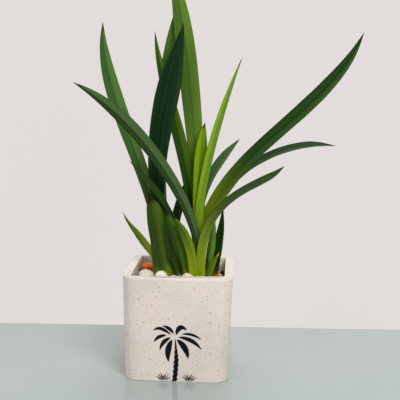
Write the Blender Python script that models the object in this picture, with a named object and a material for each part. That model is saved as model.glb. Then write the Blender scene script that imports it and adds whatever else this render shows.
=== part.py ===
"""Potted agave: strap-leaved shoots in a square glazed pot dressed with pebbles.

Frame: metres, +Z up. The origin is the centre of the pot's flat underside, the
decorated front of the pot faces -Y and +X is to the right.

Every piece is a closed solid of its own: the pot, the soil, one short stem for each
shoot, the leaves and the pebbles. Sizes below are millimetres and degrees.
"""

import math
from dataclasses import dataclass

import bmesh
import bpy
from mathutils import Matrix, Vector, noise

MM = 0.001
SHARP_ANGLE = 40.0

# --- Pot -------------------------------------------------------------------------
POT_TOP_WIDTH = 79.0
POT_BASE_WIDTH = 75.0
POT_HEIGHT = 76.5
POT_WALL = 6.0
POT_FLOOR = 6.0
POT_CORNER = 11.0
RIM_ROUND = 2.8
BASE_ROUND = 4.0
INNER_CORNER = 3.0
FLOOR_ROUND = 3.0
CORNER_STEPS = 6
ROUND_STEPS = 5

# --- Soil and stems --------------------------------------------------------------
FIT_GAP = 0.3
SOIL_BELOW_RIM = 10.8
STEM_DEPTH = 16.0
STEM_ROUND = 2.5
STEM_TAPER = 0.75
STEM_SIDES = 24

# The planting below is laid out for a hollow of this half width at the soil, and
# grows or shrinks with the hollow that the pot's sizes give.
LAYOUT_HALF = 33.2

# --- Leaves ----------------------------------------------------------------------
# Leaves grow in rings round their shoot, a sheath's thickness and RING_GAP apart.
INNER_RING = 1.4
RING_GAP = 0.7
LEAF_THICK = 1.1
SHEATH_THICK = 1.6
# Shares of a leaf's length: where the sheath ends and where the blade has turned.
SHEATH_END = 0.3
TURN_END = 0.6
# A section's height at its margin and its middle, as shares of its half width.
FOLD = 0.28
CHANNEL = 0.1
# Thickness half way to the margin, as a share, and how late a leaf thins to its tip.
MARGIN_THIN = 0.85
TIP_THINNING = 0.3
LEAF_STATIONS = 14
# Places round a leaf's section: (across, height in folds, depth in thicknesses).
LEAF_OUTLINE = (
    (-1.0, 1.0, 0.0),
    (-0.5, 0.5, 0.0),
    (0.0, CHANNEL, 0.0),
    (0.5, 0.5, 0.0),
    (1.0, 1.0, 0.0),
    (0.5, 0.5, MARGIN_THIN),
    (0.0, CHANNEL, 1.0),
    (-0.5, 0.5, MARGIN_THIN),
)

# --- Pebbles ---------------------------------------------------------------------
PEBBLE_ROUGHNESS = 0.08
PEBBLE_NOISE_SIZE = 1.3
PEBBLE_SUBDIVISIONS = 2


@dataclass(frozen=True)
class Shoot:
    """One plant of the group: its crown's place, and its stem's place and radius."""

    x: float
    y: float
    stem_x: float
    stem_y: float
    stem_radius: float


@dataclass(frozen=True)
class Leaf:
    """One strap-shaped leaf.

    The foot stands `ring` rings out from the shoot's heart, at the angle `side`. The leaf
    sets off towards `heading` and veers by `sweep` up to its tip. `leans` holds four
    angles from upright that steer it from foot to tip, as a Bezier curve's four
    values do. It widens from `sheath` to `width` at the share `widest`, and `point`
    sets how late it narrows. The blade wraps the shoot at its foot and has turned to
    `turn` at the share TURN_END.
    """

    name: str
    shoot: str
    ring: float
    side: float
    heading: float
    sweep: float
    leans: tuple
    length: float
    sheath: float
    width: float
    widest: float
    point: float
    turn: float


@dataclass(frozen=True)
class Pebble:
    """One pebble: its place, its three sizes, its height over the soil and its turn."""

    x: float
    y: float
    width: float
    depth: float
    height: float
    lift: float
    spin: float


SHOOTS = {
    "left": Shoot(-9.0, -2.5, -9.0, 0.0, 6.5),
    "front": Shoot(7.0, -12.5, 6.0, -14.5, 4.5),
    "main": Shoot(14.0, -1.0, 13.0, 1.0, 7.0),
    "right": Shoot(23.5, -0.6, 24.5, -0.8, 3.8),
}

LEAVES = (
    Leaf("leaf_heart", "main", 0.0, 90, 50, 0, (-2, -3, -3, 14), 119, 5.5, 7.0, 0.75, 2.1, -60),
    Leaf("leaf_bright", "main", 1.2, 250, -14, 0, (-5, 8, 17, 22), 170, 5.5, 4.0, 0.45, 2.4, 70),
    Leaf("leaf_tall", "main", 3.0, 90, 163, -1, (-2, 10, 2, 17), 237, 5.5, 13.0, 0.7, 2.1, 85),
    Leaf("leaf_centre_left", "main", 1.9, 95, 171, -1, (5, 2, 32, 6), 189, 5.5, 9.5, 0.5, 2.5, 75),
    Leaf("leaf_right_long", "main", 0.9, 85, -16, 2, (-11, 49, 69, 20), 223, 8.0, 13.0, 0.7, 2.4, -50),
    Leaf("leaf_left_arching", "main", 2.2, 275, 202, -2, (-7, 42, 32, 64), 181, 5.5, 10.0, 0.7, 2.1, -60),
    Leaf("leaf_right_short_back", "main", 5.2, 85, 32, -1, (-3, -26, 50, 46), 117, 5.5, 8.0, 0.8, 1.6, -30),
    Leaf("leaf_left_low", "main", 3.1, 210, 190, -2, (8, 19, 36, 44), 103, 8.0, 13.0, 0.6, 1.9, -35),
    Leaf("leaf_right_droop_back", "main", 6.3, 85, 14, -2, (-12, 33, 65, 97), 169, 5.5, 8.0, 0.8, 2.1, -30),
    Leaf("leaf_right_droop_front", "main", 4.5, 280, -15, 1, (-2, -10, 102, 43), 117, 7.5, 9.0, 0.8, 2.0, 40),
    Leaf("leaf_dark_broad", "left", 0.2, 85, -3, 0, (-12, -11, 24, 9), 192, 6.0, 18.0, 0.75, 1.3, -85),
    Leaf("leaf_left_back", "left", 2.0, 115, 151, 1, (7, 22, 44, -3), 204, 7.0, 11.5, 0.7, 2.0, 55),
    Leaf("leaf_behind_dark", "left", 7.5, 90, 4, -1, (-11, -4, 9, 9), 207, 6.0, 7.5, 0.75, 2.1, -80),
    Leaf("leaf_left_small", "left", 1.7, 187, 193, 1, (11, 31, 52, 23), 60, 6.0, 9.0, 0.35, 1.4, -50),
    Leaf("leaf_front_broad", "left", 3.3, 260, 179, -1, (5, 13, 6, 21), 68, 14.5, 13.0, 0.5, 2.8, -75),
    Leaf("leaf_back_cross", "left", 9.0, 80, 11, 0, (-2, -18, 38, 14), 83, 7.0, 7.5, 0.65, 2.1, -65),
    Leaf("leaf_front_dried_tip", "front", 0.6, 240, 182, 0, (9, 20, 12, 28), 59, 8.5, 9.5, 0.5, 2.8, -75),
    Leaf("leaf_front_centre", "front", 2.5, 310, 196, 2, (2, 6, 21, 44), 55, 8.0, 8.0, 0.55, 2.3, -110),
    Leaf("leaf_front_sliver", "front", 3.05, 195, 183, 1, (9, 17, 14, 10), 53, 7.0, 7.0, 0.15, 1.2, -125),
    Leaf("leaf_right_upright_dark", "right", 1.0, 45, 9, 1, (-1, 9, 11, -1), 57, 7.0, 8.0, 0.3, 1.8, -60),
    Leaf("leaf_right_upright_pale", "right", 1.1, 210, -3, 1, (-3, 14, 11, -3), 50, 7.5, 6.5, 0.45, 1.9, 105),
    Leaf("leaf_right_yellow_tip", "right", 3.2, 245, -13, 0, (11, 13, 37, 25), 26, 6.0, 5.5, 0.3, 1.7, 85),
)

WHITE_PEBBLES = (
    Pebble(-24.6, -12.5, 13.5, 12.0, 10.4, 0.0, 10),
    Pebble(-12.6, -21.6, 10.4, 9.0, 9.6, 2.2, -15),
    Pebble(-3.4, -23.5, 8.0, 8.0, 8.6, 0.6, 20),
    Pebble(6.4, -24.0, 10.4, 9.0, 9.8, 1.4, 0),
    Pebble(17.5, -24.3, 10.0, 9.0, 7.4, 0.0, 30),
    Pebble(26.2, -25.2, 8.0, 9.0, 6.2, 0.0, -20),
    Pebble(-25.2, -25.0, 11.0, 10.4, 7.2, 0.0, 35),
    Pebble(-27.0, 1.2, 8.4, 9.0, 5.8, 0.0, 5),
    Pebble(-19.4, 8.4, 7.0, 8.0, 5.2, 0.0, -30),
    Pebble(-14.6, 20.8, 9.0, 9.0, 6.4, 0.0, 25),
    Pebble(-25.8, 26.6, 9.0, 8.0, 6.0, 0.0, 0),
    Pebble(-5.6, 27.0, 9.0, 9.0, 6.4, 0.0, -10),
    Pebble(5.0, 22.6, 9.6, 9.0, 6.4, 0.0, 15),
    Pebble(3.2, 3.4, 5.6, 8.4, 6.2, 0.0, 0),
    Pebble(0.4, -6.6, 6.6, 6.8, 6.4, 0.0, 20),
    Pebble(3.0, 12.6, 6.8, 7.4, 5.6, 0.0, -25),
    Pebble(15.6, 25.0, 10.0, 9.0, 4.6, 0.0, 10),
    Pebble(25.4, 20.6, 9.0, 10.0, 3.6, 0.0, -15),
    Pebble(27.8, 9.6, 7.6, 9.6, 3.2, 0.0, 0),
    Pebble(28.6, -6.4, 6.0, 7.0, 6.4, 0.0, 25),
    Pebble(19.8, -15.4, 6.6, 6.4, 5.4, 0.0, -20),
    Pebble(-17.0, -29.2, 6.6, 4.8, 5.0, 0.0, 15),
)

ORANGE_PEBBLES = (
    Pebble(-27.1, 17.2, 11.4, 12.0, 8.8, 0.2, 0),
    Pebble(27.6, -14.6, 8.2, 7.6, 8.2, 0.6, 10),
    Pebble(-7.6, -29.8, 7.0, 4.4, 4.6, 0.0, -5),
    Pebble(8.4, 29.4, 7.2, 4.8, 4.6, 0.0, 5),
)

COLOURS = {
    "pot": ((0.66, 0.60, 0.54), 0.35),
    "soil": ((0.055, 0.035, 0.022), 0.95),
    "stem": ((0.23, 0.22, 0.06), 0.6),
    "leaf_dark": ((0.012, 0.05, 0.018), 0.32),
    "leaf_green": ((0.045, 0.14, 0.02), 0.34),
    "leaf_bright": ((0.16, 0.26, 0.015), 0.34),
    "pebble_white": ((0.72, 0.69, 0.60), 0.45),
    "pebble_orange": ((0.55, 0.09, 0.012), 0.4),
}

LEAF_COLOURS = {
    "leaf_heart": "leaf_bright",
    "leaf_bright": "leaf_bright",
    "leaf_tall": "leaf_bright",
    "leaf_left_small": "leaf_bright",
    "leaf_right_yellow_tip": "leaf_bright",
    "leaf_dark_broad": "leaf_dark",
    "leaf_left_low": "leaf_dark",
    "leaf_right_long": "leaf_dark",
    "leaf_back_cross": "leaf_dark",
    "leaf_front_sliver": "leaf_dark",
    "leaf_right_upright_dark": "leaf_dark",
}


def smooth(share):
    """Ease a share from 0 to 1."""
    share = min(max(share, 0.0), 1.0)
    return share * share * (3.0 - 2.0 * share)


def blend(start, end, share):
    """Mix two values by a share."""
    return start + (end - start) * share


def remove_all_objects():
    """Start from an empty file."""
    for item in list(bpy.data.objects):
        bpy.data.objects.remove(item, do_unlink=True)


def material(name):
    """Return the Principled material of one finish, making it the first time."""
    found = bpy.data.materials.get(name)
    if found:
        return found
    colour, roughness = COLOURS[name]
    made = bpy.data.materials.new(name)
    made.use_nodes = True
    shader = made.node_tree.nodes["Principled BSDF"]
    shader.inputs["Base Color"].default_value = (*colour, 1.0)
    shader.inputs["Roughness"].default_value = roughness
    shader.inputs["Metallic"].default_value = 0.0
    return made


def add_object(name, mesh_builder, finish):
    """Turn a bmesh in millimetres into a named object in metres."""
    bmesh.ops.scale(mesh_builder, vec=(MM, MM, MM), verts=mesh_builder.verts)
    bmesh.ops.recalc_face_normals(mesh_builder, faces=mesh_builder.faces)
    mesh = bpy.data.meshes.new(name)
    mesh_builder.to_mesh(mesh)
    mesh_builder.free()
    mesh.shade_smooth()
    mesh.set_sharp_from_angle(angle=math.radians(SHARP_ANGLE))
    mesh.materials.append(material(finish))
    made = bpy.data.objects.new(name, mesh)
    bpy.context.scene.collection.objects.link(made)
    return made


def loft(mesh_builder, rings, closed_top=True):
    """Skin a list of equal rings of points, with a flat cap at each open end."""
    loops = [[mesh_builder.verts.new(point) for point in ring] for ring in rings]
    count = len(loops[0])
    for lower, upper in zip(loops, loops[1:]):
        for i in range(count):
            j = (i + 1) % count
            mesh_builder.faces.new((lower[i], lower[j], upper[j], upper[i]))
    mesh_builder.faces.new(list(reversed(loops[0])))
    if closed_top:
        mesh_builder.faces.new(loops[-1])
    return loops


def square_ring(half, corner, height):
    """Points of a square with round corners, at one height."""
    points = []
    for quarter in range(4):
        for step in range(CORNER_STEPS + 1):
            angle = math.radians(90.0 * quarter + 90.0 * step / CORNER_STEPS)
            turn = math.radians(90.0 * quarter + 45.0)
            centre = (half - corner) * math.sqrt(2.0)
            x = centre * math.cos(turn) + corner * math.cos(angle)
            y = centre * math.sin(turn) + corner * math.sin(angle)
            points.append((x, y, height))
    return points


def arc(centre_half, centre_z, radius, start, end):
    """Points (half width, height) along a round of the pot's section."""
    points = []
    for step in range(ROUND_STEPS + 1):
        angle = math.radians(blend(start, end, step / ROUND_STEPS))
        points.append((centre_half + radius * math.cos(angle), centre_z + radius * math.sin(angle)))
    return points


def outer_half(height):
    """Half of the pot's outer width at one height."""
    return blend(POT_BASE_WIDTH, POT_TOP_WIDTH, height / POT_HEIGHT) / 2.0


def inner_half(height):
    """Half of the hollow's width at one height."""
    return outer_half(height) - POT_WALL


def soil_top():
    """Height of the soil and of the stems' tops."""
    return POT_HEIGHT - SOIL_BELOW_RIM


def foot_height():
    """Height at which the leaves stand clear of the stems."""
    return soil_top() + FIT_GAP


def planting_scale():
    """Size of the planting against its layout: it follows the hollow's width."""
    return inner_half(soil_top()) / LAYOUT_HALF


def stem_radius(shoot):
    """Radius of a shoot's stem at the top of the soil."""
    return shoot.stem_radius * planting_scale()


def corner_at(half, height):
    """Corner radius of the ring with this half width, parallel to the outer wall."""
    return max(POT_CORNER - (outer_half(height) - half), INNER_CORNER)


def build_pot():
    """The square pot: drafted walls, round rim and a flat, unglazed underside."""
    rim_z = POT_HEIGHT - RIM_ROUND
    rim_out = outer_half(rim_z) - RIM_ROUND
    rim_in = inner_half(rim_z) + RIM_ROUND
    floor_z = POT_FLOOR + FLOOR_ROUND
    section = arc(outer_half(BASE_ROUND) - BASE_ROUND, BASE_ROUND, BASE_ROUND, -90.0, 0.0)
    section += arc(rim_out, rim_z, RIM_ROUND, 0.0, 90.0)
    section += arc(rim_in, rim_z, RIM_ROUND, 90.0, 180.0)
    section += arc(inner_half(floor_z) - FLOOR_ROUND, floor_z, FLOOR_ROUND, 0.0, -90.0)
    rings = [square_ring(half, corner_at(half, z), z) for half, z in section]
    mesh_builder = bmesh.new()
    loft(mesh_builder, rings)
    return add_object("pot", mesh_builder, "pot")


def build_stem(name, shoot):
    """A short stem, rooted in the soil with its top level with it."""
    top = soil_top()
    foot_radius = stem_radius(shoot) * STEM_TAPER
    foot_round = min(STEM_ROUND, foot_radius * STEM_TAPER)
    section = [(foot_radius - foot_round, top - STEM_DEPTH)]
    section.append((foot_radius, top - STEM_DEPTH + foot_round))
    section.append((stem_radius(shoot), top))
    mesh_builder = bmesh.new()
    loft(mesh_builder, [stem_ring(shoot, radius, z) for radius, z in section])
    return add_object(f"stem_{name}", mesh_builder, "stem")


def stem_ring(shoot, radius, height):
    """A level circle round a shoot's stem."""
    points = []
    for side in range(STEM_SIDES):
        angle = 2.0 * math.pi * side / STEM_SIDES
        x = shoot.stem_x * planting_scale() + radius * math.cos(angle)
        y = shoot.stem_y * planting_scale() + radius * math.sin(angle)
        points.append((x, y, height))
    return points


def build_soil():
    """The soil: it fills the hollow with a small gap and has a socket for each stem."""
    low = POT_FLOOR + FIT_GAP
    turn = low + FLOOR_ROUND
    section = arc(inner_half(turn) - FIT_GAP - FLOOR_ROUND, turn, FLOOR_ROUND, -90.0, 0.0)
    section.append((inner_half(soil_top()) - FIT_GAP, soil_top()))
    rings = [square_ring(half, corner_at(half, z), z) for half, z in section]
    mesh_builder = bmesh.new()
    loft(mesh_builder, rings)
    soil = add_object("soil", mesh_builder, "soil")
    for name, shoot in SHOOTS.items():
        cut_socket(soil, name, shoot)
    return soil


def cut_socket(soil, name, shoot):
    """Cut the hole that one stem stands in, wider and deeper than the stem by the gap."""
    top = soil_top()
    foot_radius = stem_radius(shoot) * STEM_TAPER + FIT_GAP
    mouth_radius = stem_radius(shoot) + FIT_GAP
    section = [(foot_radius, top - STEM_DEPTH - FIT_GAP)]
    section.append((mouth_radius, top))
    section.append((mouth_radius, top + STEM_ROUND))
    mesh_builder = bmesh.new()
    loft(mesh_builder, [stem_ring(shoot, radius, z) for radius, z in section])
    cutter = add_object(f"socket_{name}", mesh_builder, "soil")
    cutter.hide_render = True
    cutter.display_type = "WIRE"
    cut = soil.modifiers.new(f"socket_{name}", "BOOLEAN")
    cut.operation = "DIFFERENCE"
    cut.solver = "EXACT"
    cut.object = cutter


def lean_at(leaf, share):
    """How far the leaf leans from upright at a share of its length, in degrees."""
    foot, low, high, tip = leaf.leans
    left = 1.0 - share
    lower_half = foot * left ** 3 + 3.0 * low * share * left ** 2
    return lower_half + 3.0 * high * share ** 2 * left + tip * share ** 3


def direction_at(leaf, share):
    """Unit vector along the leaf at a share of its length."""
    lean = math.radians(lean_at(leaf, share))
    heading = math.radians(leaf.heading + leaf.sweep * share)
    level = math.sin(lean)
    return Vector((level * math.cos(heading), level * math.sin(heading), math.cos(lean)))


def blade_axes(leaf, share):
    """Unit vectors across the blade and out of its upper side."""
    heading = math.radians(leaf.heading + leaf.sweep * share)
    along = direction_at(leaf, share)
    across = Vector((math.sin(heading), -math.cos(heading), 0.0))
    wrapped = (leaf.heading - leaf.side + 180.0) % 360.0 - 180.0
    turn = math.radians(blend(wrapped, leaf.turn, smooth(share / TURN_END)))
    across = Matrix.Rotation(-turn, 3, along) @ across
    return across, across.cross(along)


def leaf_foot(leaf):
    """Where the leaf's centre line starts."""
    shoot = SHOOTS[leaf.shoot]
    radius = INNER_RING + (SHEATH_THICK + RING_GAP) * leaf.ring
    side = math.radians(leaf.side)
    x = shoot.x + radius * math.cos(side)
    y = shoot.y + radius * math.sin(side)
    return Vector((x * planting_scale(), y * planting_scale(), foot_height()))


def leaf_width(leaf, share):
    """Width of the blade at a share of its length."""
    if share < leaf.widest:
        return blend(leaf.sheath, leaf.width, smooth(share / leaf.widest))
    past = (share - leaf.widest) / (1.0 - leaf.widest)
    return leaf.width * (1.0 - past ** leaf.point)


def leaf_section(leaf, share, centre):
    """One cross-section: a shallow channel with a round back and thin margins."""
    across, upper = blade_axes(leaf, share)
    half = leaf_width(leaf, share) / 2.0
    thick = blend(SHEATH_THICK, LEAF_THICK, smooth(share / SHEATH_END))
    thick *= (1.0 - share) ** TIP_THINNING
    points = []
    for sideways, raised, below in LEAF_OUTLINE:
        height = FOLD * raised * half - below * thick
        points.append(centre + planting_scale() * (across * sideways * half + upper * height))
    return points


def level_section(points, height):
    """Drop a cross-section's points straight onto one height, for a level foot."""
    return [Vector((point.x, point.y, height)) for point in points]


def build_leaf(leaf):
    """Loft one leaf along its centre line and close its tip to a point."""
    mesh_builder = bmesh.new()
    centre = leaf_foot(leaf)
    rings = [level_section(leaf_section(leaf, 0.0, centre), centre.z)]
    step = leaf.length * planting_scale() / LEAF_STATIONS
    for station in range(1, LEAF_STATIONS + 1):
        centre = centre + direction_at(leaf, (station - 0.5) / LEAF_STATIONS) * step
        if station < LEAF_STATIONS:
            rings.append(leaf_section(leaf, station / LEAF_STATIONS, centre))
    loops = loft(mesh_builder, rings, closed_top=False)
    tip = mesh_builder.verts.new(centre)
    last = loops[-1]
    for i, point in enumerate(last):
        mesh_builder.faces.new((point, last[(i + 1) % len(last)], tip))
    bmesh.ops.triangulate(mesh_builder, faces=mesh_builder.faces)
    return add_object(leaf.name, mesh_builder, LEAF_COLOURS.get(leaf.name, "leaf_green"))


def build_pebble(name, pebble, finish):
    """A water-worn pebble: a flattened ball with a slightly uneven surface."""
    mesh_builder = bmesh.new()
    bmesh.ops.create_icosphere(mesh_builder, subdivisions=PEBBLE_SUBDIVISIONS, radius=1.0)
    half = Vector((pebble.width, pebble.depth, pebble.height)) * planting_scale() / 2.0
    seed = Vector((pebble.x, pebble.y, 0.0))
    for vert in mesh_builder.verts:
        bump = noise.noise(vert.co * PEBBLE_NOISE_SIZE + seed)
        vert.co = vert.co * (1.0 - PEBBLE_ROUGHNESS * (0.5 + 0.5 * bump)) * half
    x = pebble.x * planting_scale()
    y = pebble.y * planting_scale()
    z = foot_height() + pebble.lift * planting_scale() + half.z
    spin = Matrix.Rotation(math.radians(pebble.spin), 4, "Z")
    place = Matrix.Translation((x, y, z)) @ spin
    bmesh.ops.transform(mesh_builder, matrix=place, verts=mesh_builder.verts)
    return add_object(name, mesh_builder, finish)


def build_pebbles(prefix, pebbles, finish):
    """A numbered row of pebbles of one colour."""
    for number, pebble in enumerate(pebbles, start=1):
        build_pebble(f"{prefix}_{number:02d}", pebble, finish)


def main():
    """Build every piece of the potted plant."""
    remove_all_objects()
    build_pot()
    build_soil()
    for name, shoot in SHOOTS.items():
        build_stem(name, shoot)
    for leaf in LEAVES:
        build_leaf(leaf)
    build_pebbles("pebble_white", WHITE_PEBBLES, "pebble_white")
    build_pebbles("pebble_orange", ORANGE_PEBBLES, "pebble_orange")


main()
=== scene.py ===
"""Looks of a strap-leaved plant in a square glazed pot dressed with pebbles.

The solid model is loaded first, and every fine piece takes its place and size from it.
Sizes are millimetres, and MM turns them into the scene's metres. The decorated front of
the pot faces -Y, +X is to the right and +Z is up. Colours are linear light.
"""

from __future__ import annotations

import logging
import math
import random
from collections.abc import Callable
from dataclasses import dataclass, field
from enum import Enum

import bmesh
import bpy
from mathutils import Matrix, Vector, noise

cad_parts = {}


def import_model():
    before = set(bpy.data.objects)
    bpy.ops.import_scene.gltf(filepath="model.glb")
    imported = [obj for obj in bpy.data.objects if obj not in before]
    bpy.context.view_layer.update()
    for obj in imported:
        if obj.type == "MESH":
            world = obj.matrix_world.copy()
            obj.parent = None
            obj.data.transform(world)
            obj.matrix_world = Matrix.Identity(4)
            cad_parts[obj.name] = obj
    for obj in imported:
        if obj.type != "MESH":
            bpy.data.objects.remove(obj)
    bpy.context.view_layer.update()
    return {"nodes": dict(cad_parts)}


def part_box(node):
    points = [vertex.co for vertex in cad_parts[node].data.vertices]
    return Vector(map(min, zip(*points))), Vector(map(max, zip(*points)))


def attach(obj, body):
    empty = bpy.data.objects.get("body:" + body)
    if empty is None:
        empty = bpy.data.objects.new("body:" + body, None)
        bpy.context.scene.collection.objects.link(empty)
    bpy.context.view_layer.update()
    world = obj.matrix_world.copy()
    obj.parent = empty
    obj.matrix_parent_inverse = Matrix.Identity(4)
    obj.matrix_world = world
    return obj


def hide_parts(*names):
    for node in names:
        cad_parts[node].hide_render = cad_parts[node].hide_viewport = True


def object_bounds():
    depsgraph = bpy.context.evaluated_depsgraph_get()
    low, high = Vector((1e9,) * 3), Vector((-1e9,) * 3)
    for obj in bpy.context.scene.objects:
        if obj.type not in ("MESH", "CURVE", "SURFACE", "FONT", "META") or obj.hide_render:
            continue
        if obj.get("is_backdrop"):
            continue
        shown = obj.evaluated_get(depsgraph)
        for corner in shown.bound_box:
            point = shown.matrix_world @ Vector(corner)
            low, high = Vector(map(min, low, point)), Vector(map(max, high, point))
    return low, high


MM = 0.001
NOISE_SEED = 5  # any number but 0, which would take the clock's
BODY = "root"
WELD = 0.01 * MM
LOG = logging.getLogger("potted_plant")

Colour = tuple[float, float, float]


def paint(red: int, green: int, blue: int) -> Colour:
    """Turn a paint chart's colour, 0 to 255, into linear light.

    Args:
        red: Share of red.
        green: Share of green.
        blue: Share of blue.

    Returns:
        The colour in linear light.
    """
    return tuple(_linear(part / 255.0) for part in (red, green, blue))


def _linear(part: float) -> float:
    """Linear light of one chart value from 0 to 1."""
    return part / 12.92 if part <= 0.04045 else ((part + 0.055) / 1.055) ** 2.4


def ease(low: float, high: float, value: float) -> float:
    """Go smoothly from 0 at low to 1 at high, which may also be the smaller of the two.

    Args:
        low: Value that gives 0.
        high: Value that gives 1.
        value: Value to ease.

    Returns:
        A share from 0 to 1.
    """
    share = min(max((value - low) / (high - low), 0.0), 1.0)
    return share * share * (3.0 - 2.0 * share)


# --- Shader tools ----------------------------------------------------------------


class Wire:
    """A number that varies over a surface, with arithmetic that adds Math nodes."""

    def __init__(self, surface: Surface, socket: bpy.types.NodeSocket) -> None:
        """Wrap a socket of a surface's node tree.

        Args:
            surface: The material that the socket belongs to.
            socket: The socket.
        """
        self.surface = surface
        self.socket = socket

    def _math(self, operation: str, *values: Wire | float) -> Wire:
        """Add one Math node.

        Args:
            operation: The node's operation.
            values: Its inputs, in order.

        Returns:
            The result.
        """
        made = self.surface.node("ShaderNodeMath", {"operation": operation}, dict(enumerate(values)))
        return Wire(self.surface, made.outputs[0])

    def __add__(self, other: Wire | float) -> Wire:
        """Sum of the two."""
        return self._math("ADD", self, other)

    def __radd__(self, other: float) -> Wire:
        """Sum of the two."""
        return self._math("ADD", other, self)

    def __sub__(self, other: Wire | float) -> Wire:
        """This less the other."""
        return self._math("SUBTRACT", self, other)

    def __rsub__(self, other: float) -> Wire:
        """The other less this."""
        return self._math("SUBTRACT", other, self)

    def __mul__(self, other: Wire | float) -> Wire:
        """Product of the two."""
        return self._math("MULTIPLY", self, other)

    def __rmul__(self, other: float) -> Wire:
        """Product of the two."""
        return self._math("MULTIPLY", other, self)

    def __abs__(self) -> Wire:
        """Size without its sign."""
        return self._math("ABSOLUTE", self)

    def at_least(self, other: Wire | float) -> Wire:
        """The larger of the two."""
        return self._math("MAXIMUM", self, other)

    def ease(self, low: Wire | float, high: Wire | float) -> Wire:
        """Go smoothly from 0 at low to 1 at high.

        Args:
            low: Value that gives 0.
            high: Value that gives 1.

        Returns:
            A share from 0 to 1.
        """
        settings = {"interpolation_type": "SMOOTHSTEP"}
        values = {"Value": self, "From Min": low, "From Max": high}
        made = self.surface.node("ShaderNodeMapRange", settings, values)
        return Wire(self.surface, made.outputs["Result"])


Value = Wire | bpy.types.NodeSocket | float | tuple


class Surface:
    """A material under construction, round one Principled shader."""

    def __init__(self, name: str) -> None:
        """Start a material with its shader alone."""
        self.material = bpy.data.materials.new(name)
        self.material.use_nodes = True
        self.tree = self.material.node_tree
        self.shader = self.tree.nodes["Principled BSDF"]

    def node(self, kind: str, settings: dict | None = None, values: dict | None = None) -> bpy.types.Node:
        """Add any node.

        Args:
            kind: The node's type.
            settings: Its own settings, set first.
            values: Values or links of its sockets, by name or number.

        Returns:
            The node.
        """
        made = self.tree.nodes.new(kind)
        for name, value in (settings or {}).items():
            setattr(made, name, value)
        for name, value in (values or {}).items():
            self.feed(made.inputs[name], value)
        return made

    def feed(self, socket: bpy.types.NodeSocket, value: Value) -> None:
        """Link a socket or set its value.

        Args:
            socket: The input.
            value: A wire, a socket, a number, a vector or a colour.
        """
        if isinstance(value, Wire):
            self.tree.links.new(value.socket, socket)
        elif isinstance(value, bpy.types.NodeSocket):
            self.tree.links.new(value, socket)
        elif socket.type == "RGBA":
            socket.default_value = (*value, 1.0)
        else:
            socket.default_value = value

    def place(self, scale: tuple = (1.0, 1.0, 1.0), shift: tuple = (0.0, 0.0, 0.0)) -> bpy.types.NodeSocket:
        """Object coordinates, stretched and shifted.

        Args:
            scale: Stretch along each axis.
            shift: Shift along each axis, after the stretch.

        Returns:
            The vector.
        """
        coordinates = self.node("ShaderNodeTexCoord").outputs["Object"]
        values = {"Vector": coordinates, "Scale": scale, "Location": shift}
        return self.node("ShaderNodeMapping", None, values).outputs["Vector"]

    def height(self) -> Wire:
        """Height over the underside of the pot, in metres.

        Returns:
            The height.
        """
        coordinates = self.node("ShaderNodeTexCoord").outputs["Object"]
        split = self.node("ShaderNodeSeparateXYZ", None, {"Vector": coordinates})
        return Wire(self, split.outputs["Z"])

    def point(self, x: Wire | float, y: Wire | float, z: Wire | float) -> bpy.types.NodeSocket:
        """Join three numbers into a vector."""
        return self.node("ShaderNodeCombineXYZ", None, {"X": x, "Y": y, "Z": z}).outputs["Vector"]

    def noise(self, scale: float, detail: float = 2.0, vector: bpy.types.NodeSocket | None = None) -> Wire:
        """Soft noise from 0 to 1.

        Args:
            scale: How many features fit one unit.
            detail: How many finer layers it has.
            vector: Where it is read, or the object's coordinates where there is none.

        Returns:
            The noise.
        """
        values = {"Vector": vector or self.place(), "Scale": scale, "Detail": detail}
        made = self.node("ShaderNodeTexNoise", {"noise_dimensions": "3D"}, values)
        return Wire(self, made.outputs["Fac"])

    def dots(self, spacing: float, size: float, share: float) -> Wire:
        """Scattered round dots, 1 inside and 0 outside.

        Args:
            spacing: Distance between the places where a dot may be, in metres.
            size: Radius of the largest dot, as a share of the spacing.
            share: Share of the places that have a dot.

        Returns:
            The mask.
        """
        values = {"Vector": self.place(), "Scale": 1.0 / spacing}
        cells = self.node("ShaderNodeTexVoronoi", {"feature": "F1"}, values)
        split = self.node("ShaderNodeSeparateColor", None, {"Color": cells.outputs["Color"]})
        chance = Wire(self, split.outputs["Red"])
        radius = (1.0 - chance * (1.0 / share)).at_least(0.0) * size
        distance = Wire(self, cells.outputs["Distance"])
        return 1.0 - (distance - radius).ease(-0.04, 0.03)

    def mix(self, factor: Wire | float, first: Value, second: Value) -> bpy.types.NodeSocket:
        """Mix two colours.

        Args:
            factor: Share of the second.
            first: The colour at 0.
            second: The colour at 1.

        Returns:
            The mixed colour.
        """
        values = {0: factor, 6: first, 7: second}
        return self.node("ShaderNodeMix", {"data_type": "RGBA"}, values).outputs[2]

    def scaled(self, colour: Value, factor: Wire | float) -> bpy.types.NodeSocket:
        """Make a colour lighter or darker by a factor."""
        values = {0: colour, "Scale": factor}
        return self.node("ShaderNodeVectorMath", {"operation": "SCALE"}, values).outputs[0]

    def finish(self, colour: Value, roughness: Value, relief: Wire, depth: float) -> bpy.types.Material:
        """Feed the shader.

        Args:
            colour: Base colour.
            roughness: Roughness.
            relief: Height of the surface's fine relief, from 0 to 1.
            depth: Depth of that relief, in metres.

        Returns:
            The finished material.
        """
        bump = self.node("ShaderNodeBump", None, {"Height": relief, "Distance": depth, "Strength": 1.0})
        self.feed(self.shader.inputs["Base Color"], colour)
        self.feed(self.shader.inputs["Roughness"], roughness)
        self.feed(self.shader.inputs["Normal"], bump.outputs["Normal"])
        return self.material

    def set(self, **values: float) -> None:
        """Set plain numbers on the shader, its socket names written with underscores."""
        for name, value in values.items():
            self.shader.inputs[name.replace("_", " ")].default_value = value


# --- Finishes --------------------------------------------------------------------


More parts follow.
